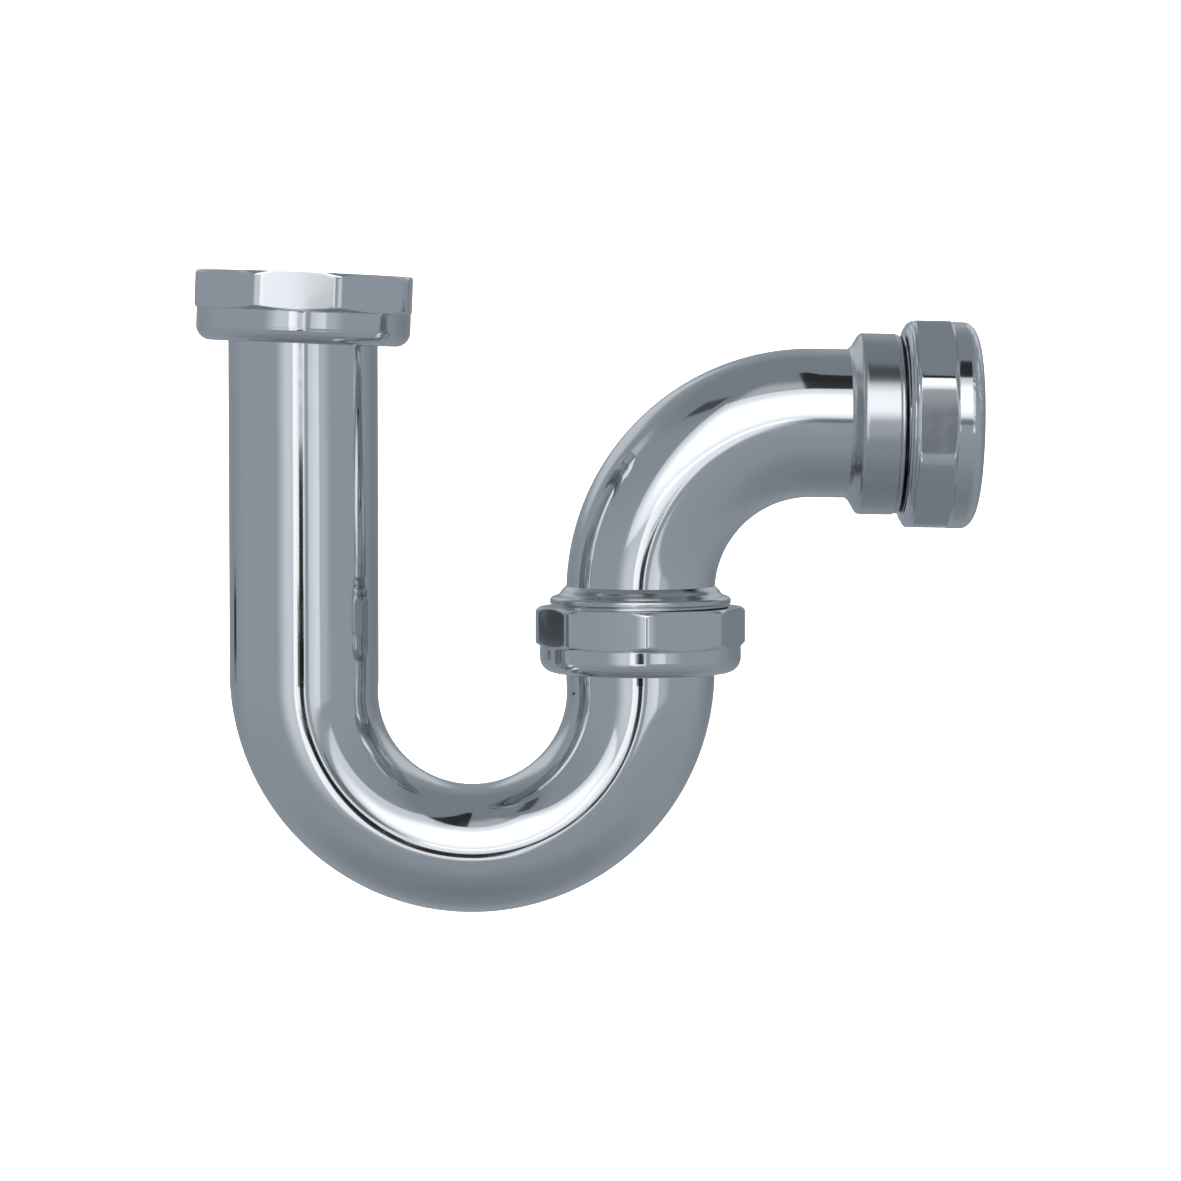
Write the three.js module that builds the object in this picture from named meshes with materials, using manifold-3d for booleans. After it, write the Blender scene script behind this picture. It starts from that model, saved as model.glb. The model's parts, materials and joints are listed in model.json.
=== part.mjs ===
// P trap of chromed brass tube: a U bend with a captive inlet nut, a union, and an
// outlet bend that ends in a threaded socket with a slip nut.
// Millimetres, +Z up. The origin is on the inlet axis, at the top (sealing) face of
// the inlet washer. +X points from the inlet leg towards the outlet.
import * as THREE from "three";
import { mergeVertices } from "three/addons/utils/BufferGeometryUtils.js";
import Module from "manifold-3d";

const wasm = await Module();
wasm.setup();

// Tube, 1 1/2 inch outside diameter
const TUBE_R = 19.05;
const TUBE_WALL = 1.2;
const TUBE_BORE_R = TUBE_R - TUBE_WALL;
const GAP = 0.3; // running or seating gap left between neighbouring pieces

// U bend
const LEG_SPACING = 86.1; // between the inlet axis and the union axis
const U_RADIUS = LEG_SPACING / 2;
const U_CENTRE_Z = -95.3;
const U_FLATTENING = 0.137; // loss of thickness in the plane of the bend, at its middle
const U_WIDENING = 0.04; // gain of width across that plane
const FLANGE_R = 21.8; // lip turned out at each end of the U bend
const FLANGE_T = 1.2;

// Seal stack inside each captive nut, from the nut's closed end outwards
const NUT_SHOULDER = 2.7;
const SLIP_RING_T = 0.8;
const WASHER_T = 2.9;
const SLIP_RING_Z = NUT_SHOULDER + GAP;
const FLANGE_Z = SLIP_RING_Z + SLIP_RING_T + GAP;
const WASHER_Z = FLANGE_Z + FLANGE_T + GAP;
const SEAL_FACE_Z = WASHER_Z + WASHER_T;
const WASHER_BORE_R = 18.3;
const WASHER_R = 22.0;

// Threads are plain rings: a 1.5 mm pitch thread, 46 mm outside, at its pitch diameter
const MALE_THREAD_R = 22.35;
const FEMALE_THREAD_R = 22.75;
const INLET_THREAD_R = 22.42; // minor radius of a G 1 1/2 parallel thread
const THREAD_LEAD_IN = 0.6;

// Nuts: an octagon for the spanner beside a round skirt or rim
const NUT_SIDES = 8;
const NUT_HOLE_R = TUBE_R + 0.45;
const SKIRT_ROUND = 3.8;
const CORNER_CHAMFER = 0.8;
const INLET_NUT = { height: 17.8, skirtHeight: 8.1, skirtR: 27.3, flatR: 27.15, cornerR: 29.25 };
const UNION_NUT = { height: 16.8, skirtHeight: 6.8, skirtR: 25.8, flatR: 25.2, cornerR: 27.1 };
const OUTLET_NUT = { height: 19.0, skirtHeight: 7.2, skirtR: 26.45, flatR: 26.2, cornerR: 28.2 };
const INLET_NUT_TURN = 24.2; // degrees from -Y to the nearest corner, towards -X
const UNION_NUT_TURN = 43.7;
const OUTLET_NUT_TURN = 19.4;

// Union, above the short leg of the U bend
const UNION_NUT_RISE = 2.2; // from the U bend's centre to the nut's closed end
const UNION_Z = U_CENTRE_Z + UNION_NUT_RISE;
const FERRULE_FACE_Z = UNION_Z + SEAL_FACE_Z;
const FERRULE_BORE_R = TUBE_R + GAP;
const FERRULE_LEDGE_T = 2.0;
const UNION_FERRULE_TOP_Z = U_CENTRE_Z + 23.4;
const UNION_FERRULE_R = 23.2;
const FERRULE_SLOPE = 2.0; // height of the cone between the tube and the ferrule's rim
const FERRULE_RIM_T = 1.3;
const FERRULE_RIM_EDGE = 0.8; // the rim's corner, cut off
const THREAD_RELIEF = 0.4; // slope between a plain rim and the thread beside it
const BRAZED_EDGE_T = 0.6; // thickness of a brazed ring's edge on the tube

// Outlet bend
const OUTLET_RADIUS = 43.4;
const OUTLET_CENTRE_Z = U_CENTRE_Z + 22.6;
const OUTLET_FALL = THREE.MathUtils.degToRad(1);
const OUTLET_SWEEP = Math.PI / 2 + OUTLET_FALL;

// Outlet socket and slip nut, measured along the outlet axis from the end of the bend
const SOCKET_START = 9.5;
const SOCKET_SLOPE = 1.9; // length of the cone between the tube and the collar
const SOCKET_CONE_ROUND = 0.5;
const COLLAR_END = 20.5;
const SOCKET_R = 23.2;
const TUBE_END = 16.6;
const SOCKET_LEDGE_END = 18.1;
const SOCKET_END = 34.1;
const SOCKET_TAPER = 2.0;
const SOCKET_BORE_R = TUBE_R + 0.4; // takes a pipe of the tube's own diameter
const SEAL_SETBACK = 0.6; // from the seal's nose to the foot of the socket's taper
const OUTLET_NUT_END = 41.9;

const TUBE_SIDES = 32;
const TURNED_SIDES = 40;
const BEND_STEP = THREE.MathUtils.degToRad(7.5);

const chrome = { color: 0xaeb6bd, roughness: 0.12, metalness: 1 };
const brass = { color: 0xb99a52, roughness: 0.35, metalness: 1 };
const rubber = { color: 0x1b1b1c, roughness: 0.8, metalness: 0 };

const model = new THREE.Group();

function piece(parent, name, geometry, finish) {
  const mesh = new THREE.Mesh(geometry, new THREE.MeshStandardMaterial(finish));
  mesh.name = name;
  parent.add(mesh);
  return mesh;
}

// A turned solid about +Z. The outline lists [radius, height] once round, anticlockwise.
function turned(outline, sides = TURNED_SIDES) {
  const points = [...outline, outline[0]].map(([r, z]) => new THREE.Vector2(r, z));
  const geometry = new THREE.LatheGeometry(points, sides);
  geometry.rotateX(Math.PI / 2);
  geometry.deleteAttribute("normal");
  geometry.deleteAttribute("uv");
  return mergeVertices(geometry);
}

function ring(innerR, outerR, bottom, top) {
  return turned([[innerR, bottom], [outerR, bottom], [outerR, top], [innerR, top]]);
}

function toSolid(geometry) {
  return new wasm.Manifold(new wasm.Mesh({
    numProp: 3,
    vertProperties: new Float32Array(geometry.attributes.position.array),
    triVerts: new Uint32Array(geometry.index.array),
  }));
}

function toGeometry(solid) {
  const { vertProperties, triVerts } = solid.getMesh();
  const geometry = new THREE.BufferGeometry();
  geometry.setAttribute("position", new THREE.BufferAttribute(vertProperties, 3));
  geometry.setIndex(new THREE.BufferAttribute(triVerts, 1));
  return geometry;
}

// The material outside an octagon of the given across-flats radius, above the skirt
function flatsCutter({ height, skirtHeight, flatR, cornerR }, turn) {
  const octagon = new THREE.Path();
  const circumR = flatR / Math.cos(Math.PI / NUT_SIDES);
  for (let i = 0; i < NUT_SIDES; i++) {
    const angle = -Math.PI / 2 - THREE.MathUtils.degToRad(turn) + i * 2 * Math.PI / NUT_SIDES;
    const corner = [circumR * Math.cos(angle), circumR * Math.sin(angle)];
    if (i === 0) octagon.moveTo(...corner);
    else octagon.lineTo(...corner);
  }
  octagon.closePath();
  const around = new THREE.Shape().absarc(0, 0, cornerR + 5, 0, 2 * Math.PI);
  around.holes.push(octagon);
  const cutter = new THREE.ExtrudeGeometry(around, { depth: height, bevelEnabled: false });
  cutter.translate(0, 0, skirtHeight);
  cutter.deleteAttribute("normal");
  cutter.deleteAttribute("uv");
  return mergeVertices(cutter);
}

// A nut standing on its closed end: skirt and pipe hole below, flats and thread above
function nut(size, threadR, turn) {
  const { height, skirtHeight, skirtR, cornerR } = size;
  const roundCorner = [60, 30, 0].map((degrees) => {
    const a = THREE.MathUtils.degToRad(degrees);
    return [skirtR - SKIRT_ROUND * (1 - Math.cos(a)), SKIRT_ROUND * (1 - Math.sin(a))];
  });
  const blank = turned([
    [NUT_HOLE_R, 0],
    [skirtR - SKIRT_ROUND, 0],
    ...roundCorner,
    [skirtR, skirtHeight],
    [cornerR, skirtHeight + CORNER_CHAMFER],
    [cornerR, height - CORNER_CHAMFER],
    [cornerR - 1.2 * CORNER_CHAMFER, height],
    [threadR + THREAD_LEAD_IN, height],
    [threadR, height - THREAD_LEAD_IN],
    [threadR, NUT_SHOULDER],
    [NUT_HOLE_R, NUT_SHOULDER],
  ]);
  return toGeometry(toSolid(blank).subtract(toSolid(flatsCutter(size, turn))));
}

// Distances along a tube at which its section is drawn: closely in the bend only
function stations(straightIn, radius, sweep, straightOut) {
  const steps = Math.round(sweep / BEND_STEP);
  const bend = Array.from({ length: steps + 1 }, (_, i) => straightIn + radius * sweep * i / steps);
  return [0, ...bend, straightIn + radius * sweep + straightOut];
}

// Bends a turned tube, drawn along +Z from its first end, in the XZ plane. It sets off
// up (+1) or down (-1) from start, then turns towards +X; the bend flattens its section.
function bendTube(geometry, { start, heading, straightIn, radius, sweep, flattening, widening }) {
  const position = geometry.attributes.position;
  const centre = new THREE.Vector3(radius, 0, heading * straightIn).add(start);
  for (let i = 0; i < position.count; i++) {
    const along = position.getZ(i) - straightIn;
    const angle = THREE.MathUtils.clamp(along / radius, 0, sweep);
    const beyond = along - angle * radius;
    const squeeze = Math.sin(Math.PI * angle / sweep);
    const across = position.getX(i) * (1 - flattening * squeeze);
    const sideways = position.getY(i) * (1 + widening * squeeze) * heading;
    const inward = new THREE.Vector3(Math.cos(angle), 0, -heading * Math.sin(angle));
    const forward = new THREE.Vector3(Math.sin(angle), 0, heading * Math.cos(angle));
    const point = centre.clone()
      .addScaledVector(inward, across - radius)
      .addScaledVector(forward, beyond);
    position.setXYZ(i, point.x, sideways, point.z);
  }
  return geometry;
}

function uBendTube() {
  const flangeTop = FLANGE_Z + FLANGE_T - SEAL_FACE_Z;
  const path = {
    start: new THREE.Vector3(0, 0, flangeTop),
    heading: -1,
    straightIn: flangeTop - U_CENTRE_Z,
    radius: U_RADIUS,
    sweep: Math.PI,
    flattening: U_FLATTENING,
    widening: U_WIDENING,
  };
  const straightOut = UNION_NUT_RISE + FLANGE_Z + FLANGE_T;
  const along = stations(path.straightIn, path.radius, path.sweep, straightOut);
  const end = along.at(-1);
  const outline = [
    [FLANGE_R, 0],
    [FLANGE_R, FLANGE_T],
    [TUBE_R, FLANGE_T],
    ...along.slice(1, -1).map((s) => [TUBE_R, s]),
    [TUBE_R, end - FLANGE_T],
    [FLANGE_R, end - FLANGE_T],
    [FLANGE_R, end],
    ...along.toReversed().map((s) => [TUBE_BORE_R, s]),
  ];
  piece(model, "u_bend_tube", bendTube(turned(outline, TUBE_SIDES), path), chrome);
}

function captiveStack(parent, prefix, nutSize, threadR, turn) {
  piece(parent, `${prefix}_nut`, nut(nutSize, threadR, turn), chrome);
  const slipRing = ring(NUT_HOLE_R, FLANGE_R, SLIP_RING_Z, SLIP_RING_Z + SLIP_RING_T);
  piece(parent, `${prefix}_slip_ring`, slipRing, brass);
  const washer = ring(WASHER_BORE_R, WASHER_R, WASHER_Z, SEAL_FACE_Z);
  piece(parent, `${prefix}_washer`, washer, rubber);
}

function inlet() {
  const group = new THREE.Group();
  group.position.z = -SEAL_FACE_Z;
  model.add(group);
  captiveStack(group, "inlet", INLET_NUT, INLET_THREAD_R, INLET_NUT_TURN);
}

function union() {
  const group = new THREE.Group();
  group.position.set(LEG_SPACING, 0, UNION_Z);
  model.add(group);
  captiveStack(group, "union", UNION_NUT, FEMALE_THREAD_R, UNION_NUT_TURN);
}

function unionFerrule() {
  const face = FERRULE_FACE_Z;
  const top = UNION_FERRULE_TOP_Z;
  const rimTop = top - FERRULE_SLOPE;
  const rimFoot = rimTop - FERRULE_RIM_T;
  const ferrule = turned([
    [TUBE_BORE_R, face],
    [MALE_THREAD_R - THREAD_LEAD_IN, face],
    [MALE_THREAD_R, face + THREAD_LEAD_IN],
    [MALE_THREAD_R, rimFoot - THREAD_RELIEF],
    [UNION_FERRULE_R, rimFoot],
    [UNION_FERRULE_R, rimTop - FERRULE_RIM_EDGE],
    [UNION_FERRULE_R - FERRULE_RIM_EDGE, rimTop],
    [FERRULE_BORE_R + BRAZED_EDGE_T, top],
    [FERRULE_BORE_R, top],
    [FERRULE_BORE_R, face + FERRULE_LEDGE_T],
    [TUBE_BORE_R, face + FERRULE_LEDGE_T],
  ]);
  piece(model, "union_ferrule", ferrule.translate(LEG_SPACING, 0, 0), chrome);
}

function outletBendTube() {
  const startZ = FERRULE_FACE_Z + FERRULE_LEDGE_T + GAP;
  const path = {
    start: new THREE.Vector3(LEG_SPACING, 0, startZ),
    heading: 1,
    straightIn: OUTLET_CENTRE_Z - startZ,
    radius: OUTLET_RADIUS,
    sweep: OUTLET_SWEEP,
    flattening: 0,
    widening: 0,
  };
  const along = stations(path.straightIn, path.radius, path.sweep, TUBE_END);
  const outline = [
    ...along.map((s) => [TUBE_R, s]),
    ...along.toReversed().map((s) => [TUBE_BORE_R, s]),
  ];
  piece(model, "outlet_bend_tube", bendTube(turned(outline, TUBE_SIDES), path), chrome);
}

function outletSocket(parent) {
  const collarStart = SOCKET_START + SOCKET_SLOPE;
  const socket = turned([
    [FERRULE_BORE_R, SOCKET_START],
    [FERRULE_BORE_R + BRAZED_EDGE_T, SOCKET_START],
    [SOCKET_R - SOCKET_CONE_ROUND, collarStart],
    [SOCKET_R, collarStart + SOCKET_CONE_ROUND],
    [SOCKET_R, COLLAR_END],
    [MALE_THREAD_R, COLLAR_END + THREAD_RELIEF],
    [MALE_THREAD_R, SOCKET_END - THREAD_LEAD_IN],
    [MALE_THREAD_R - THREAD_LEAD_IN, SOCKET_END],
    [SOCKET_BORE_R + SOCKET_TAPER, SOCKET_END],
    [SOCKET_BORE_R, SOCKET_END - SOCKET_TAPER],
    [SOCKET_BORE_R, SOCKET_LEDGE_END],
    [TUBE_BORE_R, SOCKET_LEDGE_END],
    [TUBE_BORE_R, TUBE_END + GAP],
    [FERRULE_BORE_R, TUBE_END + GAP],
  ]);
  piece(parent, "outlet_socket", socket, chrome);
}

// Tapered rubber ring: its nose enters the socket's mouth, its back meets the slip ring
function outletSeal(parent, back) {
  const boreR = TUBE_R + GAP;
  const nose = SOCKET_END - SOCKET_TAPER + SEAL_SETBACK;
  const seal = turned([
    [boreR, nose],
    [SOCKET_BORE_R + GAP / 2, nose],
    [SOCKET_BORE_R + SOCKET_TAPER - GAP, SOCKET_END + GAP],
    [WASHER_R, SOCKET_END + GAP],
    [WASHER_R, back],
    [boreR, back],
  ]);
  piece(parent, "outlet_seal", seal, rubber);
}

function outletEnd() {
  const group = new THREE.Group();
  group.position.set(
    LEG_SPACING + OUTLET_RADIUS * (1 - Math.cos(OUTLET_SWEEP)),
    0,
    OUTLET_CENTRE_Z + OUTLET_RADIUS * Math.sin(OUTLET_SWEEP),
  );
  group.rotation.y = OUTLET_SWEEP;
  model.add(group);
  outletSocket(group);
  const ringBack = OUTLET_NUT_END - NUT_SHOULDER - GAP;
  const ringFront = ringBack - SLIP_RING_T;
  piece(group, "outlet_slip_ring", ring(NUT_HOLE_R, WASHER_R, ringFront, ringBack), brass);
  outletSeal(group, ringFront - GAP);
  const slipNut = piece(group, "outlet_nut", nut(OUTLET_NUT, FEMALE_THREAD_R, OUTLET_NUT_TURN), chrome);
  slipNut.rotation.x = Math.PI;
  slipNut.position.z = OUTLET_NUT_END;
}

uBendTube();
inlet();
union();
unionFerrule();
outletBendTube();
outletEnd();

export default model;
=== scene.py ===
"""A P trap of chromed brass tube: U bend, captive inlet nut, union, and outlet bend with a slip nut."""

import json
from math import atan2, ceil, cos, floor, hypot, pi, radians, sin

import bmesh
import bpy
from mathutils import Matrix, Vector


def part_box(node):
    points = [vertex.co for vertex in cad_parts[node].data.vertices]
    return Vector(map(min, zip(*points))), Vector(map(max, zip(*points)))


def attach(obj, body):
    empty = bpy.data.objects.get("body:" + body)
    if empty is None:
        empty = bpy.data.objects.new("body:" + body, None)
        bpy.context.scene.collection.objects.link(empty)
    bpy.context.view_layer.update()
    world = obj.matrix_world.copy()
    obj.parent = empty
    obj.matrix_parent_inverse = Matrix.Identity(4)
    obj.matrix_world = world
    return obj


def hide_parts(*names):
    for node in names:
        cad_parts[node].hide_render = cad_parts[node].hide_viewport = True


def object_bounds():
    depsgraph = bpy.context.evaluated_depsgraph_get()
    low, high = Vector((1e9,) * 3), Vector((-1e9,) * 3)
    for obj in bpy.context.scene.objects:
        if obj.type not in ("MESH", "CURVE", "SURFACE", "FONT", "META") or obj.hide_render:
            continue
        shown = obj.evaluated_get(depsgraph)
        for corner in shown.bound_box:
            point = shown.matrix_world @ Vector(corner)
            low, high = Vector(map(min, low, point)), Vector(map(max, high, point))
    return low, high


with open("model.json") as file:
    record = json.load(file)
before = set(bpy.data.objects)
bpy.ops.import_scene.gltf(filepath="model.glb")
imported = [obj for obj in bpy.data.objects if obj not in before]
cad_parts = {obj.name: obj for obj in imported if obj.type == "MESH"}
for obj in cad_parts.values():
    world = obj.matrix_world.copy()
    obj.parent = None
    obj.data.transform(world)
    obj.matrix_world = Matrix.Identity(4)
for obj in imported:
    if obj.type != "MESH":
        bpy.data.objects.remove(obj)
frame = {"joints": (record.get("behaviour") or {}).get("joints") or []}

cad_low, cad_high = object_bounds()
joints = {joint["name"]: joint for joint in frame["joints"]}
MM = 0.001


# The camera stands a little over a metre in front of the trap, slightly to its left and
# above it, with a long lens, and is aimed at a point between the legs.
VIEW_HEIGHT = 302.6 * MM
CAMERA_DISTANCE = 1110 * MM
CAMERA_AZIMUTH = radians(-1.7)
CAMERA_PITCH = radians(3.2)
AIM = Vector((73.3, 0.0, -72.2)) * MM

camera_data = bpy.data.cameras.new("camera")
camera_data.sensor_width = 36.0
camera_data.lens = camera_data.sensor_width * CAMERA_DISTANCE / VIEW_HEIGHT
camera = bpy.data.objects.new("camera", camera_data)
bpy.context.scene.collection.objects.link(camera)
towards_camera = Vector((
    sin(CAMERA_AZIMUTH) * cos(CAMERA_PITCH),
    -cos(CAMERA_AZIMUTH) * cos(CAMERA_PITCH),
    sin(CAMERA_PITCH),
))
camera.location = AIM + towards_camera * CAMERA_DISTANCE
camera.rotation_mode = "QUATERNION"
camera.rotation_quaternion = (-towards_camera).to_track_quat("-Z", "Y")
bpy.context.scene.camera = camera


# The studio room, as polished chrome shows it: blue-grey all round, with a large soft box
# in front and above and weaker ones behind. The camera, its stand and a few flags are dark.
def maths(nodes, links, operation, first, second=None):
    """One Math node. Either input may be a socket or a number."""
    node = nodes.new("ShaderNodeMath")
    node.operation = operation
    for socket, value in zip(node.inputs, (first, second)):
        if isinstance(value, (int, float)):
            socket.default_value = value
        elif value is not None:
            links.new(value, socket)
    return node.outputs[0]


def soft_step(nodes, links, value, low, high):
    """A value that runs smoothly from 0 at low to 1 at high."""
    step = nodes.new("ShaderNodeMapRange")
    step.interpolation_type = "SMOOTHSTEP"
    step.inputs["From Min"].default_value = low
    step.inputs["From Max"].default_value = high
    links.new(value, step.inputs["Value"])
    return step.outputs["Result"]


def panel(nodes, links, bearing, height, centre, half, edge):
    """A soft-edged panel on the walls. Centre, half size and edge are (bearing, height), in
    degrees. Bearing is 0 in front of the trap, and grows towards +X."""
    sides = []
    for angle, middle, reach, fade in zip((bearing, height), centre, half, edge):
        off = maths(nodes, links, "ABSOLUTE", maths(nodes, links, "SUBTRACT", angle, middle))
        sides.append(soft_step(nodes, links, off, reach + fade / 2, reach - fade / 2))
    return maths(nodes, links, "MULTIPLY", *sides)


ROOM_LEVELS = [  # brightness of the walls by height in degrees
    (-90, 0.27), (-65, 0.31), (-30, 0.40), (2, 0.44), (40, 0.38), (60, 0.30), (90, 0.30),
]
ROOM_TINT = (0.885, 1.0, 1.11)
FLAG_COLOR = (0.012, 0.011, 0.01, 1.0)


def studio_room():
    world = bpy.data.worlds.new("studio_room")
    world.use_nodes = True
    nodes, links = world.node_tree.nodes, world.node_tree.links
    nodes.clear()
    split = nodes.new("ShaderNodeSeparateXYZ")
    links.new(nodes.new("ShaderNodeTexCoord").outputs["Generated"], split.inputs[0])
    x, y, z = split.outputs
    bearing = maths(nodes, links, "ARCTAN2", x, maths(nodes, links, "MULTIPLY", y, -1.0))
    bearing = maths(nodes, links, "MULTIPLY", bearing, 180 / pi)
    height = maths(nodes, links, "MULTIPLY", maths(nodes, links, "ARCSINE", z), 180 / pi)

    walls = nodes.new("ShaderNodeValToRGB")
    walls.color_ramp.interpolation = "EASE"
    stops = walls.color_ramp.elements
    while len(stops) < len(ROOM_LEVELS):
        stops.new(0.5)
    for stop, (degrees, level) in zip(stops, ROOM_LEVELS):
        stop.position = (degrees + 90) / 180
        stop.color = (*(level * tint for tint in ROOM_TINT), 1.0)
    along = maths(nodes, links, "DIVIDE", maths(nodes, links, "ADD", height, 90.0), 180.0)
    links.new(along, walls.inputs[0])

    glow = None
    for centre, half, edge, strength in (
        ((1, 30.2), (35, 24), (1.4, 1.4), 0.5),
        ((-3, 28), (24, 16), (14, 14), 0.8),
        ((-8, 54), (20, 13), (12, 12), 0.3),
        ((-21, -3), (11, 12), (20, 20), 0.45),
        ((-5.2, -3), (8.7, 12), (2, 4), 0.75),
        ((17.5, -2.9), (8.5, 3.5), (2, 1.2), 0.4),
        ((27, -2.9), (12, 3.5), (16, 1.2), 0.2),
        ((100, 26), (9, 18), (8, 8), 0.25),
        ((-100, 26), (9, 18), (8, 8), 0.25),
        ((150, 24), (20, 12), (12, 12), 0.35),
        ((-150, 24), (20, 12), (12, 12), 0.35),
    ):
        mask = panel(nodes, links, bearing, height, centre, half, edge)
        part = maths(nodes, links, "MULTIPLY", mask, strength)
        glow = part if glow is None else maths(nodes, links, "ADD", glow, part)
    lit = nodes.new("ShaderNodeMix")
    lit.data_type = "RGBA"
    lit.blend_type = "ADD"
    lit.inputs["Factor"].default_value = 1.0
    links.new(walls.outputs["Color"], lit.inputs["A"])
    links.new(glow, lit.inputs["B"])
    seen = lit.outputs["Result"]
    for centre, half, edge, darkness in (
        ((-2.0, -5.4), (3.2, 4.4), (1.2, 1.2), 0.98),
        ((-3.0, -4.0), (5.0, 0.7), (0.5, 0.5), 0.9),
        ((-2.4, 0.31), (2.8, 0.21), (0.08, 0.08), 0.98),
        ((7.6, 4.8), (3.2, 3.6), (0.8, 0.6), 0.48),
        ((18, 70), (14, 15), (2, 2), 0.92),
        ((-56, 58), (13, 4), (3, 3), 0.7),
        ((-131.4, -3.65), (4.2, 0.55), (0.5, 0.5), 0.95),
        ((160, -3), (46, 12), (60, 60), 0.5),
        ((-162, -3), (40, 12), (50, 50), 0.3),
    ):
        dark = nodes.new("ShaderNodeMix")
        dark.data_type = "RGBA"
        mask = panel(nodes, links, bearing, height, centre, half, edge)
        links.new(maths(nodes, links, "MULTIPLY", mask, darkness), dark.inputs["Factor"])
        links.new(seen, dark.inputs["A"])
        dark.inputs["B"].default_value = FLAG_COLOR
        seen = dark.outputs["Result"]
    background = nodes.new("ShaderNodeBackground")
    links.new(seen, background.inputs["Color"])
    output = nodes.new("ShaderNodeOutputWorld")
    links.new(background.outputs[0], output.inputs["Surface"])
    bpy.context.scene.world = world


studio_room()
bpy.context.scene.view_settings.view_transform = "Standard"


# The floor: a pale disc well below the hanging trap, curving up all round into a wall.
FLOOR_DROP = 300 * MM
FLOOR_R = 3.2
WALL_BEND_R = 1.2
WALL_HEIGHT = 3.0


def add_object(name, bm):
    """Makes an object of a finished bmesh."""
    mesh = bpy.data.meshes.new(name)
    bm.to_mesh(mesh)
    bm.free()
    made = bpy.data.objects.new(name, mesh)
    bpy.context.scene.collection.objects.link(made)
    return made


def turned(outline, sides, closed=True):
    """Turns an outline of (radius, height) pairs once round the Z axis."""
    bm = bmesh.new()
    rim = [bm.verts.new((radius, 0.0, height)) for radius, height in outline]
    ends = rim[1:] + rim[:1] if closed else rim[1:]
    edges = [bm.edges.new(pair) for pair in zip(rim, ends)]
    bmesh.ops.spin(
        bm, geom=rim + edges, cent=(0, 0, 0), axis=(0, 0, 1),
        angle=2 * pi, steps=sides, use_merge=True,
    )
    bmesh.ops.recalc_face_normals(bm, faces=bm.faces)
    return bm


def pale_floor():
    turns = [radians(9 * step) for step in range(11)]
    rise = [(FLOOR_R + WALL_BEND_R * sin(a), WALL_BEND_R * (1 - cos(a))) for a in turns]
    bm = turned([(0.0, 0.0), *rise, (FLOOR_R + WALL_BEND_R, WALL_HEIGHT)], 96, closed=False)
    bmesh.ops.remove_doubles(bm, verts=bm.verts, dist=1e-5)
    bmesh.ops.translate(bm, verts=bm.verts, vec=(AIM.x, 0, cad_low.z - FLOOR_DROP))
    floor_disc = add_object("floor", bm)
    floor_disc.data.shade_smooth()
    floor_disc.visible_glossy = False
    paint = bpy.data.materials.new("floor_white")
    paint.use_nodes = True
    shader = paint.node_tree.nodes["Principled BSDF"]
    shader.inputs["Base Color"].default_value = (0.92, 0.92, 0.92, 1.0)
    shader.inputs["Roughness"].default_value = 0.9
    shader.inputs["Emission Color"].default_value = (1.0, 1.0, 1.0, 1.0)
    shader.inputs["Emission Strength"].default_value = 0.8
    floor_disc.data.materials.append(paint)


pale_floor()


# Chrome plate on polished brass, for the tubes and nuts. Buffing leaves a slow
# waviness, and handling leaves soft smears, so no stretch of it is quite the same mirror.
def new_group(name, inputs, outputs):
    """A shader node group with number inputs (name, default) and outputs (name, kind)."""
    group = bpy.data.node_groups.new(name, "ShaderNodeTree")
    for label, default in inputs:
        socket = group.interface.new_socket(label, in_out="INPUT", socket_type="NodeSocketFloat")
        socket.default_value = default
    for label, kind in outputs:
        group.interface.new_socket(label, in_out="OUTPUT", socket_type=kind)
    return group, group.nodes.new("NodeGroupInput"), group.nodes.new("NodeGroupOutput")


def noise(nodes, links, place, scale, detail, roughness=0.5):
    """A noise texture's value. Scale may be a socket or a number."""
    texture = nodes.new("ShaderNodeTexNoise")
    texture.inputs["Detail"].default_value = detail
    texture.inputs["Roughness"].default_value = roughness
    if isinstance(scale, (int, float)):
        texture.inputs["Scale"].default_value = scale
    else:
        links.new(scale, texture.inputs["Scale"])
    links.new(place, texture.inputs["Vector"])
    return texture.outputs["Fac"]


def blend_values(nodes, links, factor, low, high):
    """A number between low and high, each a socket or a number."""
    mix = nodes.new("ShaderNodeMix")
    mix.data_type = "FLOAT"
    links.new(factor, mix.inputs["Factor"])
    for value, socket in ((low, mix.inputs["A"]), (high, mix.inputs["B"])):
        if isinstance(value, (int, float)):
            socket.default_value = value
        else:
            links.new(value, socket)
    return mix.outputs["Result"]


def handled_surface():
    """Smears on a polished surface, as a roughness, and its slow waviness, as a height."""
    group, given, out = new_group(
        "handled_surface",
        [
            ("Clean Roughness", 0.04),
            ("Smeared Roughness", 0.12),
            ("Smear Scale", 60.0),
            ("Wave Scale", 40.0),
        ],
        [("Roughness", "NodeSocketFloat"), ("Height", "NodeSocketFloat")],
    )
    nodes, links = group.nodes, group.links
    place = nodes.new("ShaderNodeTexCoord").outputs["Object"]
    smears = noise(nodes, links, place, given.outputs["Smear Scale"], 5.0, 0.6)
    smears = soft_step(nodes, links, smears, 0.48, 0.72)
    roughness = blend_values(
        nodes, links, smears, given.outputs["Clean Roughness"], given.outputs["Smeared Roughness"],
    )
    links.new(roughness, out.inputs["Roughness"])
    links.new(noise(nodes, links, place, given.outputs["Wave Scale"], 1.0), out.inputs["Height"])
    return group


handled = handled_surface()


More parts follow.
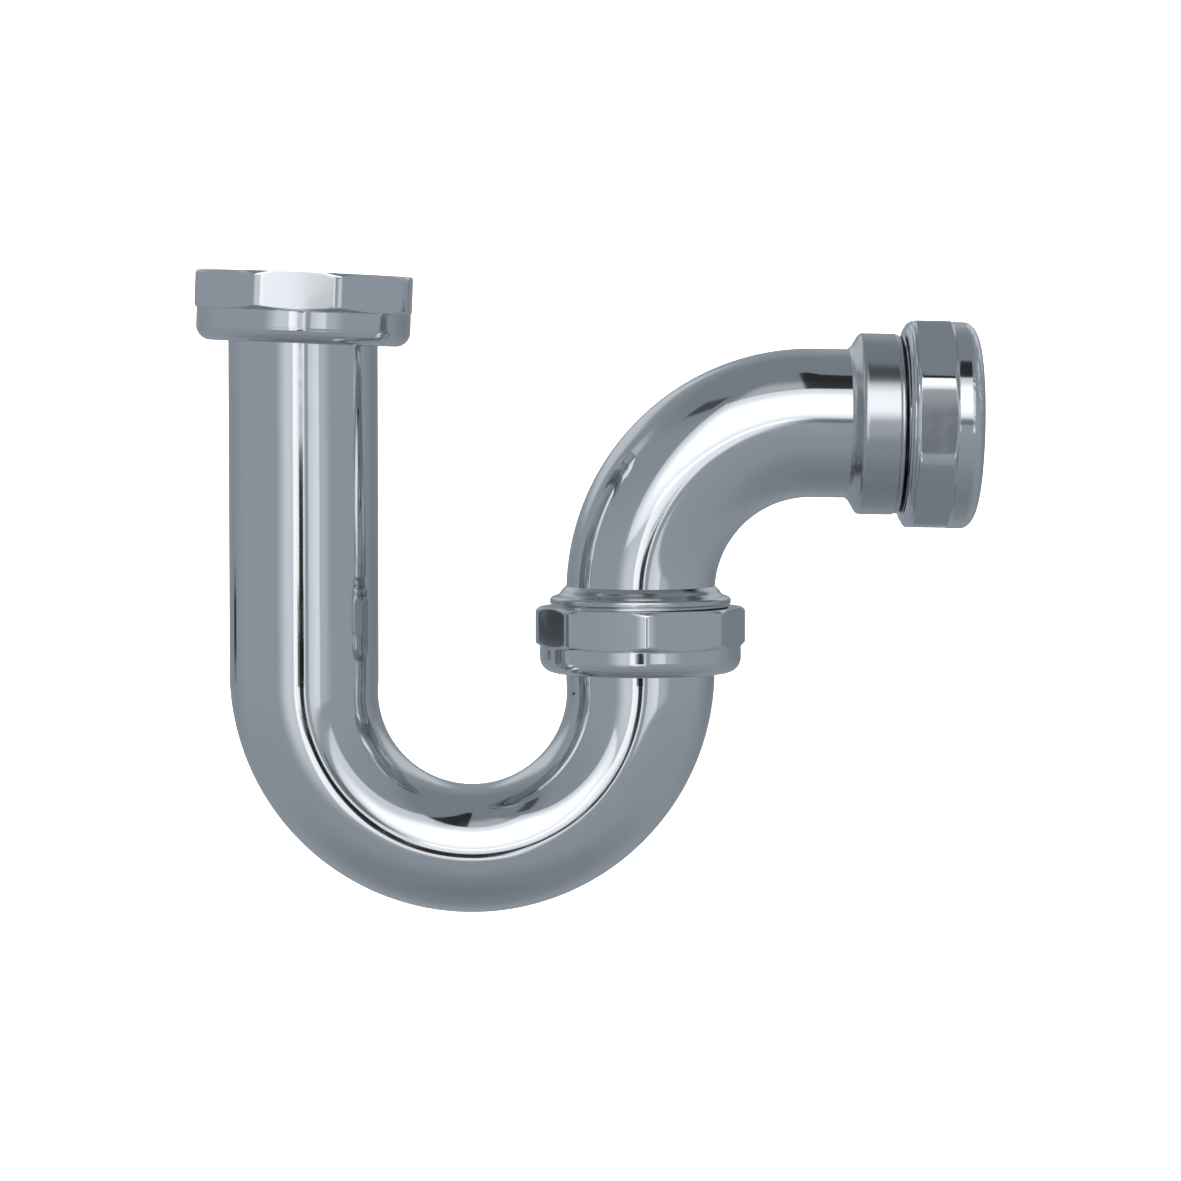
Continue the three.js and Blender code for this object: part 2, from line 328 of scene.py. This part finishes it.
def new_material(name, color, metallic):
    """A material, the places to add nodes to it, and its Principled BSDF."""
    material = bpy.data.materials.new(name)
    material.use_nodes = True
    nodes, links = material.node_tree.nodes, material.node_tree.links
    shader = nodes["Principled BSDF"]
    shader.inputs["Base Color"].default_value = (*color, 1.0)
    shader.inputs["Metallic"].default_value = metallic
    return material, nodes, links, shader


def add_bump(nodes, links, shader, height, strength, depth):
    bump = nodes.new("ShaderNodeBump")
    bump.inputs["Strength"].default_value = strength
    bump.inputs["Distance"].default_value = depth
    links.new(height, bump.inputs["Height"])
    links.new(bump.outputs["Normal"], shader.inputs["Normal"])


def add_handling(nodes, links, shader, clean, smeared, smear_scale, wave_scale, wave_depth):
    surface = nodes.new("ShaderNodeGroup")
    surface.node_tree = handled
    surface.inputs["Clean Roughness"].default_value = clean
    surface.inputs["Smeared Roughness"].default_value = smeared
    surface.inputs["Smear Scale"].default_value = smear_scale
    surface.inputs["Wave Scale"].default_value = wave_scale
    links.new(surface.outputs["Roughness"], shader.inputs["Roughness"])
    add_bump(nodes, links, shader, surface.outputs["Height"], 1.0, wave_depth)


CHROME_COLOR = (0.64, 0.65, 0.665)
SMEAR_ROUGHER = 0.07
SMEARS_PER_M = 55.0
WAVES_PER_M = 42.0


def chrome(name, clean, wave_depth):
    """Polished chrome of a given clean roughness, with waves of a given depth in metres."""
    material, nodes, links, shader = new_material(name, CHROME_COLOR, 1.0)
    add_handling(
        nodes, links, shader, clean, clean + SMEAR_ROUGHER, SMEARS_PER_M, WAVES_PER_M, wave_depth,
    )
    return material


tube_chrome = chrome("tube_chrome", 0.05, 0.00008)
nut_chrome = chrome("nut_chrome", 0.08, 0.00014)


def finish_piece(piece, material, body, node, sharp_degrees=40.0):
    """Shades a finished piece and hangs it on its body in place of its CAD node."""
    piece.data.shade_smooth()
    piece.data.set_sharp_from_angle(angle=radians(sharp_degrees))
    piece.data.materials.append(material)
    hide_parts(node)
    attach(piece, body)
    return piece


# The U bend: one length of thin brass tube, bent on a mandrel, which leaves it a little
# flat at the bottom, and with a lip turned out at each end for its captive nut to pull on.
TUBE_R = 19.05 * MM
TUBE_WALL = 1.2 * MM
TUBE_SIDES = 128
BEND_STEP = radians(2)
END_RING = 2.2 * MM
BEND_RING = 0.4 * MM
LIP_ROOT_R = 0.4 * MM
LIP_ROOT_STEP = radians(18)
U_FLATTENING = 0.137
U_WIDENING = 0.04
U_CENTRE_Z = -95.3 * MM
union_axis = Vector(joints["outlet_swivel"]["pos_m"])
u_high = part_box("u_bend_tube")[1]
lip_r = u_high.y


def extrude_ring(bm, edges, shift=(0, 0, 0), widen=1.0, centre=None):
    """Extrudes an open rim by a shift, or outwards from its centre. Returns the new rim."""
    new = bmesh.ops.extrude_edge_only(bm, edges=edges)["geom"]
    verts = [item for item in new if isinstance(item, bmesh.types.BMVert)]
    bmesh.ops.translate(bm, verts=verts, vec=shift)
    if centre is not None:
        bmesh.ops.scale(
            bm, verts=verts, vec=(widen, widen, 1.0), space=Matrix.Translation(-centre),
        )
    return [item for item in new if isinstance(item, bmesh.types.BMEdge)]


def bent_tube(start, rise, straight_in, radius, sweep, straight_out, flattening, widening):
    """The outside of a tube, open at both ends, that runs up (rise 1) or down (rise -1) from
    start, then bends towards +X. Short rings at its ends and beside the bend keep the
    straight stretches straight in their shading too."""
    bm = bmesh.new()
    bmesh.ops.create_circle(
        bm, segments=TUBE_SIDES, radius=TUBE_R, matrix=Matrix.Translation(start),
    )
    rim = list(bm.edges)
    for length in (END_RING, straight_in - END_RING - BEND_RING, BEND_RING):
        rim = extrude_ring(bm, rim, (0, 0, rise * length))
    centre = start + Vector((radius, 0, rise * straight_in))
    verts = list({vert for edge in rim for vert in edge.verts})
    bend = bmesh.ops.spin(
        bm, geom=verts + rim, cent=centre, axis=(0, rise, 0),
        angle=sweep, steps=round(sweep / BEND_STEP),
    )
    rim = [item for item in bend["geom_last"] if isinstance(item, bmesh.types.BMEdge)]
    ahead = Vector((sin(sweep), 0, rise * cos(sweep)))
    for length in (BEND_RING, straight_out - END_RING - BEND_RING, END_RING):
        rim = extrude_ring(bm, rim, ahead * length)
    bmesh.ops.remove_doubles(bm, verts=bm.verts, dist=1e-6)
    for vert in bm.verts:
        across = vert.co - centre
        turn = atan2(rise * across.z, -across.x)
        if not 0 < turn < sweep:
            continue
        squeeze = sin(pi * turn / sweep)
        reach = hypot(across.x, across.z)
        new_reach = radius + (reach - radius) * (1 - flattening * squeeze)
        vert.co.x = centre.x + across.x * new_reach / reach
        vert.co.z = centre.z + across.z * new_reach / reach
        vert.co.y *= 1 + widening * squeeze
    return bm


def open_rims(bm):
    """The open rims of a tube: a list of lists of edges."""
    left = {edge for edge in bm.edges if edge.is_boundary}
    rims = []
    while left:
        rim, front = set(), {next(iter(left))}
        while front:
            rim |= front
            front = {
                other for edge in front for vert in edge.verts
                for other in vert.link_edges if other in left and other not in rim
            }
        left -= rim
        rims.append(list(rim))
    return rims


def turn_out_lip(bm, rim, top, out_r):
    """Turns the end of a vertical tube outwards, with a rounded root, into a flat lip."""
    verts = {vert for edge in rim for vert in edge.verts}
    centre = sum((vert.co for vert in verts), Vector()) / len(verts)
    under = top - TUBE_WALL
    bmesh.ops.translate(bm, verts=list(verts), vec=(0, 0, under - LIP_ROOT_R - centre.z))
    reach = TUBE_R
    for step in range(1, 6):
        angle = LIP_ROOT_STEP * step
        new_reach = TUBE_R + LIP_ROOT_R * (1 - cos(angle))
        climb = LIP_ROOT_R * (sin(angle) - sin(angle - LIP_ROOT_STEP))
        rim = extrude_ring(bm, rim, (0, 0, climb), new_reach / reach, Vector((centre.x, 0, 0)))
        reach = new_reach
    extrude_ring(bm, rim, (0, 0, 0), out_r / reach, Vector((centre.x, 0, 0)))


def give_wall(piece, thickness):
    """Thickens a tube's outside inwards."""
    wall = piece.modifiers.new("wall", "SOLIDIFY")
    wall.thickness = thickness
    wall.offset = -1.0
    wall.use_even_offset = True
    shaped = piece.evaluated_get(bpy.context.evaluated_depsgraph_get())
    baked = bpy.data.meshes.new_from_object(shaped)
    piece.modifiers.clear()
    piece.data = baked


def u_bend_tube():
    straight_in = u_high.z - U_CENTRE_Z
    right_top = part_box("union_washer")[0].z - (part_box("inlet_washer")[0].z - u_high.z)
    bm = bent_tube(
        Vector((0, 0, u_high.z)), -1, straight_in, union_axis.x / 2, pi,
        right_top - U_CENTRE_Z, U_FLATTENING, U_WIDENING,
    )
    for rim in open_rims(bm):
        top = u_high.z if rim[0].verts[0].co.x < union_axis.x / 2 else right_top
        turn_out_lip(bm, rim, top, lip_r)
    bmesh.ops.recalc_face_normals(bm, faces=bm.faces)
    tube = add_object("u_bend", bm)
    give_wall(tube, TUBE_WALL)
    finish_piece(tube, tube_chrome, "trap_bend", "u_bend_tube", 50.0)


u_bend_tube()


# The three nuts: turned from brass, octagonal for a spanner beside a round skirt, threaded
# inside, then polished all over, which rounds every edge, and chromed.
NUT_SIDES = 8
NUT_FACETS = 384
NUT_SHOULDER = 2.7 * MM
NUT_HOLE_R = 19.5 * MM
NUT_THREAD_START = 3.7 * MM
SKIRT_ROUND = 3.8 * MM
CHAMFER_ROW = 0.12 * MM
CORNER_CHAMFER = 0.9 * MM
EDGE_SOFTNESS = 0.8 * MM
FLAT_CROWN = 0.12 * MM
THREAD_CREST_R = 22.95 * MM
THREAD_PITCH = 1.5 * MM
THREAD_DEPTH = 0.85 * MM
THREAD_PLAY = 0.12 * MM
INLET_PITCH = 2.309 * MM
INLET_DEPTH = 1.3 * MM
INLET_CREST_R = 22.45 * MM
LONG_STRETCH = 2.0 * MM
HOLD = 0.25 * MM
INLET_NUT_LEAN = radians(2.2)  # it hangs loose on its lip, a little askew
INLET_NUT_DROP = -0.5 * MM


def eased(outline, trim):
    """Rounds each corner of a closed outline. An entry may carry its own trim as a third value.
    Beside a long straight stretch, a corner gets one more point, which keeps it flat."""
    smooth = []
    for i, entry in enumerate(outline):
        before, here, after = (
            Vector(outline[j % len(outline)][:2]) for j in (i - 1, i, i + 1)
        )
        cut = entry[2] if len(entry) > 2 else trim
        back = min(cut, (before - here).length * 0.45)
        on = min(cut, (after - here).length * 0.45)
        first = here + (before - here).normalized() * back
        last = here + (after - here).normalized() * on
        if (before - here).length > LONG_STRETCH:
            smooth.append(here + (before - here).normalized() * (back + HOLD))
        for t in (0.0, 0.25, 0.5, 0.75, 1.0):
            smooth.append(first * (1 - t) ** 2 + here * 2 * t * (1 - t) + last * t ** 2)
        if (after - here).length > LONG_STRETCH:
            smooth.append(here + (after - here).normalized() * (on + HOLD))
    return [tuple(point) for point in smooth]


def with_rows(outline, low, high, step, inner_r, outer_r):
    """Adds points to the upright stretches of an outline that lie between the given limits."""
    full = []
    for (r0, z0), (r1, z1) in zip(outline, outline[1:] + outline[:1]):
        full.append((r0, z0))
        middle = ((r0 + r1) / 2, (z0 + z1) / 2)
        if abs(z1 - z0) < step or not inner_r <= middle[0] <= outer_r:
            continue
        if not low <= middle[1] <= high:
            continue
        rows = ceil(abs(z1 - z0) / step)
        full += [(r0 + (r1 - r0) * i / rows, z0 + (z1 - z0) * i / rows) for i in range(1, rows)]
    return full


def soft_min(a, b, softness):
    """The smaller of two values, with the change from one to the other rounded off."""
    mix = max(softness - abs(a - b), 0.0) / softness
    return min(a, b) - mix * mix * softness / 4


def cut_flats(bm, skirt_top, flat_r, turn):
    """Presses the wall above the skirt in to eight flats. Turn is from -Y to one corner."""
    for vert in bm.verts:
        reach = hypot(vert.co.x, vert.co.y)
        if vert.co.z <= skirt_top or reach < flat_r - 2.5 * MM:
            continue
        side = 2 * pi / NUT_SIDES
        angle = atan2(vert.co.y, vert.co.x) + pi / 2 + turn
        off = angle - side * (floor(angle / side) + 0.5)
        crown = FLAT_CROWN * (1 - (2 * off / side) ** 2)
        new_reach = soft_min(reach, flat_r / cos(off) + crown, EDGE_SOFTNESS)
        vert.co.x *= new_reach / reach
        vert.co.y *= new_reach / reach


def cut_thread(bm, crest_r, depth, pitch, low, high, outside):
    """Cuts a right-hand screw thread into the upright wall at the crest radius. The
    attribute thread_depth tells the material how deep in the groove a point lies."""
    deep = bm.verts.layers.float.new("thread_depth")
    for vert in bm.verts:
        reach = hypot(vert.co.x, vert.co.y)
        if abs(reach - crest_r) > 0.02 * MM or not low < vert.co.z < high:
            continue
        phase = (vert.co.z / pitch - atan2(vert.co.y, vert.co.x) / (2 * pi)) % 1.0
        groove = min(max(1.3 * abs(2 * phase - 1) - 0.15, 0.0), 1.0)
        run_out = min(1.0, (vert.co.z - low) / pitch, (high - vert.co.z) / pitch)
        groove = run_out * (groove if outside else 1 - groove)
        vert[deep] = groove
        new_reach = reach + (-1 if outside else 1) * depth * groove
        vert.co.x *= new_reach / reach
        vert.co.y *= new_reach / reach


def nut_blank(
    height, skirt_top, skirt_r, flat_r, corner_r, thread_r, turn, row_step,
    reach=SKIRT_ROUND, mouth=(CORNER_CHAMFER, 1.2 * CORNER_CHAMFER),
):
    """A nut standing on its closed end at z 0, not yet threaded. The skirt's round is
    SKIRT_ROUND high, and reaches inwards by reach. The chamfer round the mouth is as high
    and as wide as mouth says."""
    arc = [radians(90 - 10 * i) for i in range(10)]
    outline = [
        (NUT_HOLE_R, 0.0, 0.3 * MM),
        *((skirt_r - reach * (1 - cos(a)), SKIRT_ROUND * (1 - sin(a)), 0.0001 * MM) for a in arc),
        (skirt_r, skirt_top, 0.25 * MM),
        (corner_r, skirt_top + CORNER_CHAMFER, 0.3 * MM),
        (corner_r, height - mouth[0], 0.4 * MM),
        (corner_r - mouth[1], height, 0.3 * MM),
        (thread_r + 0.9 * MM, height, 0.2 * MM),
        (thread_r, height - 0.9 * MM, 0.2 * MM),
        (thread_r, NUT_SHOULDER, 0.3 * MM),
        (NUT_HOLE_R, NUT_SHOULDER, 0.2 * MM),
    ]
    outline = eased(outline, 0.2 * MM)
    for low, high in ((skirt_top, skirt_top + CORNER_CHAMFER), (height - mouth[0], height)):
        outline = with_rows(outline, low, high, CHAMFER_ROW, flat_r - 1 * MM, corner_r)
    outline = with_rows(
        outline, NUT_SHOULDER, height, row_step, thread_r - 0.1 * MM, thread_r + 0.1 * MM,
    )
    bm = turned(outline, NUT_FACETS)
    cut_flats(bm, skirt_top, flat_r, turn)
    return bm


def inlet_nut():
    low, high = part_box("inlet_nut")
    height = high.z - low.z
    bm = nut_blank(
        height, skirt_top=8.1 * MM, skirt_r=27.3 * MM, flat_r=27.15 * MM, corner_r=29.25 * MM,
        thread_r=INLET_CREST_R, turn=radians(24.2), row_step=INLET_PITCH / 9,
    )
    cut_thread(
        bm, INLET_CREST_R, INLET_DEPTH, INLET_PITCH, NUT_THREAD_START, height, outside=False,
    )
    pivot = Matrix.Translation((0, 0, NUT_SHOULDER / 2))
    lean = pivot @ Matrix.Rotation(INLET_NUT_LEAN, 4, "Y") @ pivot.inverted()
    hang = Matrix.Translation((0, 0, low.z + INLET_NUT_DROP))
    bmesh.ops.transform(bm, matrix=hang @ lean, verts=bm.verts)
    nut = add_object("inlet_coupling_nut", bm)
    finish_piece(nut, nut_chrome, "inlet_nut", "inlet_nut", 60.0)


def union_nut():
    low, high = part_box("union_nut")
    crest_r = THREAD_CREST_R - THREAD_DEPTH + THREAD_PLAY
    bm = nut_blank(
        high.z - low.z, skirt_top=6.8 * MM, skirt_r=25.8 * MM, flat_r=25.2 * MM, corner_r=27.1 * MM,
        thread_r=crest_r, turn=radians(43.7), row_step=THREAD_PITCH / 8,
    )
    bmesh.ops.translate(bm, verts=bm.verts, vec=(0, 0, low.z))
    cut_thread(
        bm, crest_r, THREAD_DEPTH, THREAD_PITCH, low.z + NUT_THREAD_START, high.z, outside=False,
    )
    bmesh.ops.translate(bm, verts=bm.verts, vec=(union_axis.x, 0, 0))
    nut = add_object("union_coupling_nut", bm)
    finish_piece(nut, nut_chrome, "union_nut", "union_nut", 60.0)


inlet_nut()
union_nut()


# The outlet end, built on the outlet's own axis: heights run along it from the end of the
# bend, and place_outlet then lays the finished shape on the sloping axis.
OUTLET_NUT_END = 41.9 * MM
OUTLET_ROUND_REACH = 6.0 * MM
OUTLET_MOUTH_CHAMFER = (2.2 * MM, 3.4 * MM)
OUTLET_NUT_HEIGHT = 19.0 * MM
TURNING_PITCH = 0.73 * MM
TURNING_DEPTH = 0.3 * MM
outlet_axis = Vector(joints["outlet_nut_spin"]["axis"])
outlet_tip = Vector(joints["outlet_nut_spin"]["pos_m"])
outlet_sweep = atan2(outlet_axis.x, outlet_axis.z)
bend_end = outlet_tip - outlet_axis * OUTLET_NUT_END
place_outlet = Matrix.Translation(bend_end) @ Matrix.Rotation(outlet_sweep, 4, "Y")


def outlet_nut():
    crest_r = THREAD_CREST_R - THREAD_DEPTH + THREAD_PLAY
    bm = nut_blank(
        OUTLET_NUT_HEIGHT, skirt_top=7.2 * MM, skirt_r=26.45 * MM, flat_r=26.2 * MM,
        corner_r=28.2 * MM, thread_r=crest_r, turn=radians(19.4), row_step=THREAD_PITCH / 8,
        reach=OUTLET_ROUND_REACH, mouth=OUTLET_MOUTH_CHAMFER,
    )
    for vert in bm.verts:  # the tool's rings on the mouth chamfer
        below = OUTLET_NUT_HEIGHT - vert.co.z
        reach = hypot(vert.co.x, vert.co.y)
        if below < OUTLET_MOUTH_CHAMFER[0] and reach > THREAD_CREST_R + 1.5 * MM:
            new_reach = reach - TURNING_DEPTH * sin(pi * below / TURNING_PITCH) ** 2
            vert.co.x *= new_reach / reach
            vert.co.y *= new_reach / reach
    flip = Matrix.Translation((0, 0, OUTLET_NUT_END)) @ Matrix.Rotation(pi, 4, "X")
    bmesh.ops.transform(bm, matrix=flip, verts=bm.verts)
    mouth = OUTLET_NUT_END - OUTLET_NUT_HEIGHT
    cut_thread(
        bm, crest_r, THREAD_DEPTH, THREAD_PITCH, mouth, OUTLET_NUT_END - NUT_THREAD_START,
        outside=False,
    )
    bmesh.ops.transform(bm, matrix=place_outlet, verts=bm.verts)
    nut = add_object("outlet_slip_nut", bm)
    finish_piece(nut, nut_chrome, "outlet_nut", "outlet_nut", 60.0)


outlet_nut()


# The outlet bend: the same tube, bent through a little over a right angle, so that the
# outlet falls away from the trap. Its foot stands in the ferrule, its end in the socket.
TUBE_END = 16.6 * MM
FERRULE_LEDGE = 2.0 * MM
FERRULE_GAP = 0.3 * MM
ferrule_low, ferrule_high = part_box("union_ferrule")
outlet_radius = (bend_end.x - union_axis.x) / (1 - cos(outlet_sweep))
outlet_centre_z = bend_end.z - outlet_radius * sin(outlet_sweep)


def outlet_bend_tube():
    foot = ferrule_low.z + FERRULE_LEDGE + FERRULE_GAP
    bm = bent_tube(
        Vector((union_axis.x, 0, foot)), 1, outlet_centre_z - foot, outlet_radius,
        outlet_sweep, TUBE_END, 0.0, 0.0,
    )
    bmesh.ops.recalc_face_normals(bm, faces=bm.faces)
    tube = add_object("outlet_bend", bm)
    give_wall(tube, TUBE_WALL)
    finish_piece(tube, tube_chrome, "outlet_bend", "outlet_bend_tube", 50.0)


outlet_bend_tube()


# The ferrule and the socket: turned brass rings with an outside thread, brazed on the two
# ends of the outlet bend, each with a small fillet of braze against the tube. Their chrome
# is duller than the rest, and deep in the grooves of the thread it is painted near black,
# as painted shade that follows the depth of the groove.
DULL_CHROME = (0.56, 0.57, 0.585)
# the colour of the painted shade deep in the thread grooves
GROOVE_SHADE_COLOR = (0.05, 0.05, 0.055)


def threaded_chrome():
    material, nodes, links, shader = new_material("threaded_chrome", DULL_CHROME, 1.0)
    depth = nodes.new("ShaderNodeAttribute")
    depth.attribute_name = "thread_depth"
    place = nodes.new("ShaderNodeTexCoord").outputs["Object"]
    patches = noise(nodes, links, place, 300.0, 4.0)
    # painted shade: the deeper a point lies in a thread groove, the darker and rougher it is painted,
    # broken into patches by noise
    groove_shade = maths(nodes, links, "ADD", depth.outputs["Fac"], maths(nodes, links, "MULTIPLY", patches, 0.5))
    groove_shade = soft_step(nodes, links, groove_shade, 0.3, 0.95)
    groove_shade_mix = nodes.new("ShaderNodeMix")
    groove_shade_mix.data_type = "RGBA"
    links.new(groove_shade, groove_shade_mix.inputs["Factor"])
    groove_shade_mix.inputs["A"].default_value = (*DULL_CHROME, 1.0)
    groove_shade_mix.inputs["B"].default_value = (*GROOVE_SHADE_COLOR, 1.0)
    links.new(groove_shade_mix.outputs["Result"], shader.inputs["Base Color"])
    links.new(blend_values(nodes, links, groove_shade, 0.2, 0.5), shader.inputs["Roughness"])
    return material


thread_chrome = threaded_chrome()
RING_FACETS = 256
FERRULE_R = 23.2 * MM
FERRULE_RIM_START = 3.4 * MM  # down from its top, as is the end of the rim
FERRULE_RIM_END = 2.0 * MM
FERRULE_NECK = 1.1 * MM
THREAD_END_CHAMFER = 0.8 * MM
TUBE_FIT = 0.02 * MM
SOCKET_R = 23.2 * MM
SOCKET_START = 9.5 * MM
SOCKET_SLOPE = 1.9 * MM
COLLAR_END = 20.5 * MM
SOCKET_END = 34.1 * MM
SOCKET_BORE_R = 19.45 * MM
SOCKET_LEDGE_END = 18.1 * MM
SOCKET_TAPER = 2.0 * MM
BRAZE = 0.9 * MM
tube_bore_r = TUBE_R - TUBE_WALL
thread_root_r = THREAD_CREST_R - THREAD_DEPTH


def union_ferrule():
    low, top = ferrule_low.z, ferrule_high.z
    outline = [
        (tube_bore_r, low),
        (THREAD_CREST_R - THREAD_END_CHAMFER, low),
        (THREAD_CREST_R, low + THREAD_END_CHAMFER),
        (THREAD_CREST_R, top - FERRULE_RIM_START - 0.1 * MM, 0.1 * MM),
        (FERRULE_R, top - FERRULE_RIM_START, 0.1 * MM),
        (FERRULE_R, top - FERRULE_RIM_END, 0.8 * MM),
        (TUBE_R + 1.8 * MM, top - FERRULE_NECK, 0.5 * MM),
        (TUBE_R + 1.1 * MM, top, 0.4 * MM),
        (TUBE_R + 0.1 * MM, top + BRAZE, 0.05 * MM),
        (TUBE_R + TUBE_FIT, top + BRAZE, 0.02 * MM),
        (TUBE_R + TUBE_FIT, low + FERRULE_LEDGE),
        (tube_bore_r, low + FERRULE_LEDGE),
    ]
    outline = with_rows(
        eased(outline, 0.2 * MM), low, top, THREAD_PITCH / 8,
        thread_root_r, THREAD_CREST_R + 0.01 * MM,
    )
    bm = turned(outline, RING_FACETS)
    thread_top = top - FERRULE_RIM_START - 0.2 * MM
    cut_thread(bm, THREAD_CREST_R, THREAD_DEPTH, THREAD_PITCH, low, thread_top, outside=True)
    bmesh.ops.translate(bm, verts=bm.verts, vec=(union_axis.x, 0, 0))
    ferrule = add_object("union_thread_ferrule", bm)
    finish_piece(ferrule, thread_chrome, "outlet_bend", "union_ferrule", 50.0)


def outlet_socket():
    outline = [
        (TUBE_R + TUBE_FIT, SOCKET_START - BRAZE, 0.02 * MM),
        (TUBE_R + 0.1 * MM, SOCKET_START - BRAZE, 0.05 * MM),
        (TUBE_R + 0.9 * MM, SOCKET_START, 0.6 * MM),
        (SOCKET_R, SOCKET_START + SOCKET_SLOPE, 0.9 * MM),
        (SOCKET_R, COLLAR_END, 0.25 * MM),
        (THREAD_CREST_R, COLLAR_END + 0.2 * MM, 0.1 * MM),
        (THREAD_CREST_R, SOCKET_END - THREAD_END_CHAMFER),
        (THREAD_CREST_R - THREAD_END_CHAMFER, SOCKET_END),
        (SOCKET_BORE_R + SOCKET_TAPER, SOCKET_END),
        (SOCKET_BORE_R, SOCKET_END - SOCKET_TAPER),
        (SOCKET_BORE_R, SOCKET_LEDGE_END),
        (tube_bore_r, SOCKET_LEDGE_END),
        (tube_bore_r, TUBE_END + FERRULE_GAP, 0.05 * MM),
        (TUBE_R + TUBE_FIT, TUBE_END + FERRULE_GAP, 0.05 * MM),
    ][::-1]
    outline = with_rows(
        eased(outline, 0.2 * MM), COLLAR_END, SOCKET_END, THREAD_PITCH / 8,
        thread_root_r, THREAD_CREST_R + 0.01 * MM,
    )
    bm = turned(outline, RING_FACETS)
    cut_thread(
        bm, THREAD_CREST_R, THREAD_DEPTH, THREAD_PITCH, COLLAR_END + 0.3 * MM, SOCKET_END,
        outside=True,
    )
    bmesh.ops.transform(bm, matrix=place_outlet, verts=bm.verts)
    socket = add_object("outlet_thread_socket", bm)
    finish_piece(socket, thread_chrome, "outlet_bend", "outlet_socket", 50.0)


union_ferrule()
outlet_socket()


# The slip rings: thin rings of bare turned brass that let a nut turn without dragging the
# rubber round. Their faces are a fairly rough brass, smeared in patches, with a faint fine waviness.
def turned_brass():
    material, nodes, links, shader = new_material("turned_brass", (0.72, 0.57, 0.31), 1.0)
    add_handling(nodes, links, shader, 0.28, 0.45, 120.0, 900.0, 0.00001)
    return material


brass = turned_brass()


def slip_ring(name, node, body, outline, matrix):
    bm = turned(eased(outline, 0.15 * MM), 192)
    bmesh.ops.transform(bm, matrix=matrix, verts=bm.verts)
    finish_piece(add_object(name, bm), brass, body, node)


def flat_ring(inner_r, outer_r, low, high):
    return [(inner_r, low), (outer_r, low), (outer_r, high), (inner_r, high)]


for end, axis_x in (("inlet", 0.0), ("union", union_axis.x)):
    ring_low, ring_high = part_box(f"{end}_slip_ring")
    slip_ring(
        f"{end}_friction_ring", f"{end}_slip_ring", f"{end}_slip_ring",
        flat_ring(NUT_HOLE_R, ring_high.y, ring_low.z, ring_high.z),
        Matrix.Translation((axis_x, 0, 0)),
    )
RING_T = 0.8 * MM
SEAT_GAP = 0.3 * MM
SEAL_R = 22.0 * MM
ring_back = OUTLET_NUT_END - NUT_SHOULDER - SEAT_GAP
slip_ring(
    "outlet_friction_ring", "outlet_slip_ring", "outlet_packing",
    flat_ring(NUT_HOLE_R, SEAL_R, ring_back - RING_T, ring_back), place_outlet,
)


# The rubber: two flat washers and the tapered outlet seal, moulded in black rubber with a
# dull, slightly bloomed skin.
def black_rubber():
    material, nodes, links, shader = new_material("black_rubber", (0.03, 0.03, 0.032), 0.0)
    place = nodes.new("ShaderNodeTexCoord").outputs["Object"]
    bloom = soft_step(nodes, links, noise(nodes, links, place, 160.0, 6.0, 0.65), 0.45, 0.75)
    tint = nodes.new("ShaderNodeMix")
    tint.data_type = "RGBA"
    links.new(bloom, tint.inputs["Factor"])
    tint.inputs["A"].default_value = (0.022, 0.022, 0.024, 1.0)
    tint.inputs["B"].default_value = (0.055, 0.055, 0.058, 1.0)
    links.new(tint.outputs["Result"], shader.inputs["Base Color"])
    links.new(blend_values(nodes, links, bloom, 0.55, 0.8), shader.inputs["Roughness"])
    add_bump(nodes, links, shader, noise(nodes, links, place, 1500.0, 3.0), 0.4, 0.0001)
    return material


rubber = black_rubber()


def rubber_ring(name, node, body, outline, matrix):
    bm = turned(eased(outline, 0.4 * MM), 192)
    bmesh.ops.transform(bm, matrix=matrix, verts=bm.verts)
    finish_piece(add_object(name, bm), rubber, body, node)


WASHER_BORE_R = 18.3 * MM
for end, axis_x in (("inlet", 0.0), ("union", union_axis.x)):
    washer_low, washer_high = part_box(f"{end}_washer")
    rubber_ring(
        f"{end}_flat_washer", f"{end}_washer", "trap_bend",
        flat_ring(WASHER_BORE_R, washer_high.y, washer_low.z, washer_high.z),
        Matrix.Translation((axis_x, 0, 0)),
    )
seal_back = ring_back - RING_T - SEAT_GAP
seal_nose = SOCKET_END - 1.4 * MM
rubber_ring(
    "outlet_taper_seal", "outlet_seal", "outlet_packing",
    [
        (TUBE_R + SEAT_GAP, seal_nose),
        (SOCKET_BORE_R + 0.15 * MM, seal_nose),
        (SOCKET_BORE_R + 1.7 * MM, SOCKET_END + SEAT_GAP),
        (SEAL_R, SOCKET_END + SEAT_GAP),
        (SEAL_R, seal_back),
        (TUBE_R + SEAT_GAP, seal_back),
    ],
    place_outlet,
)
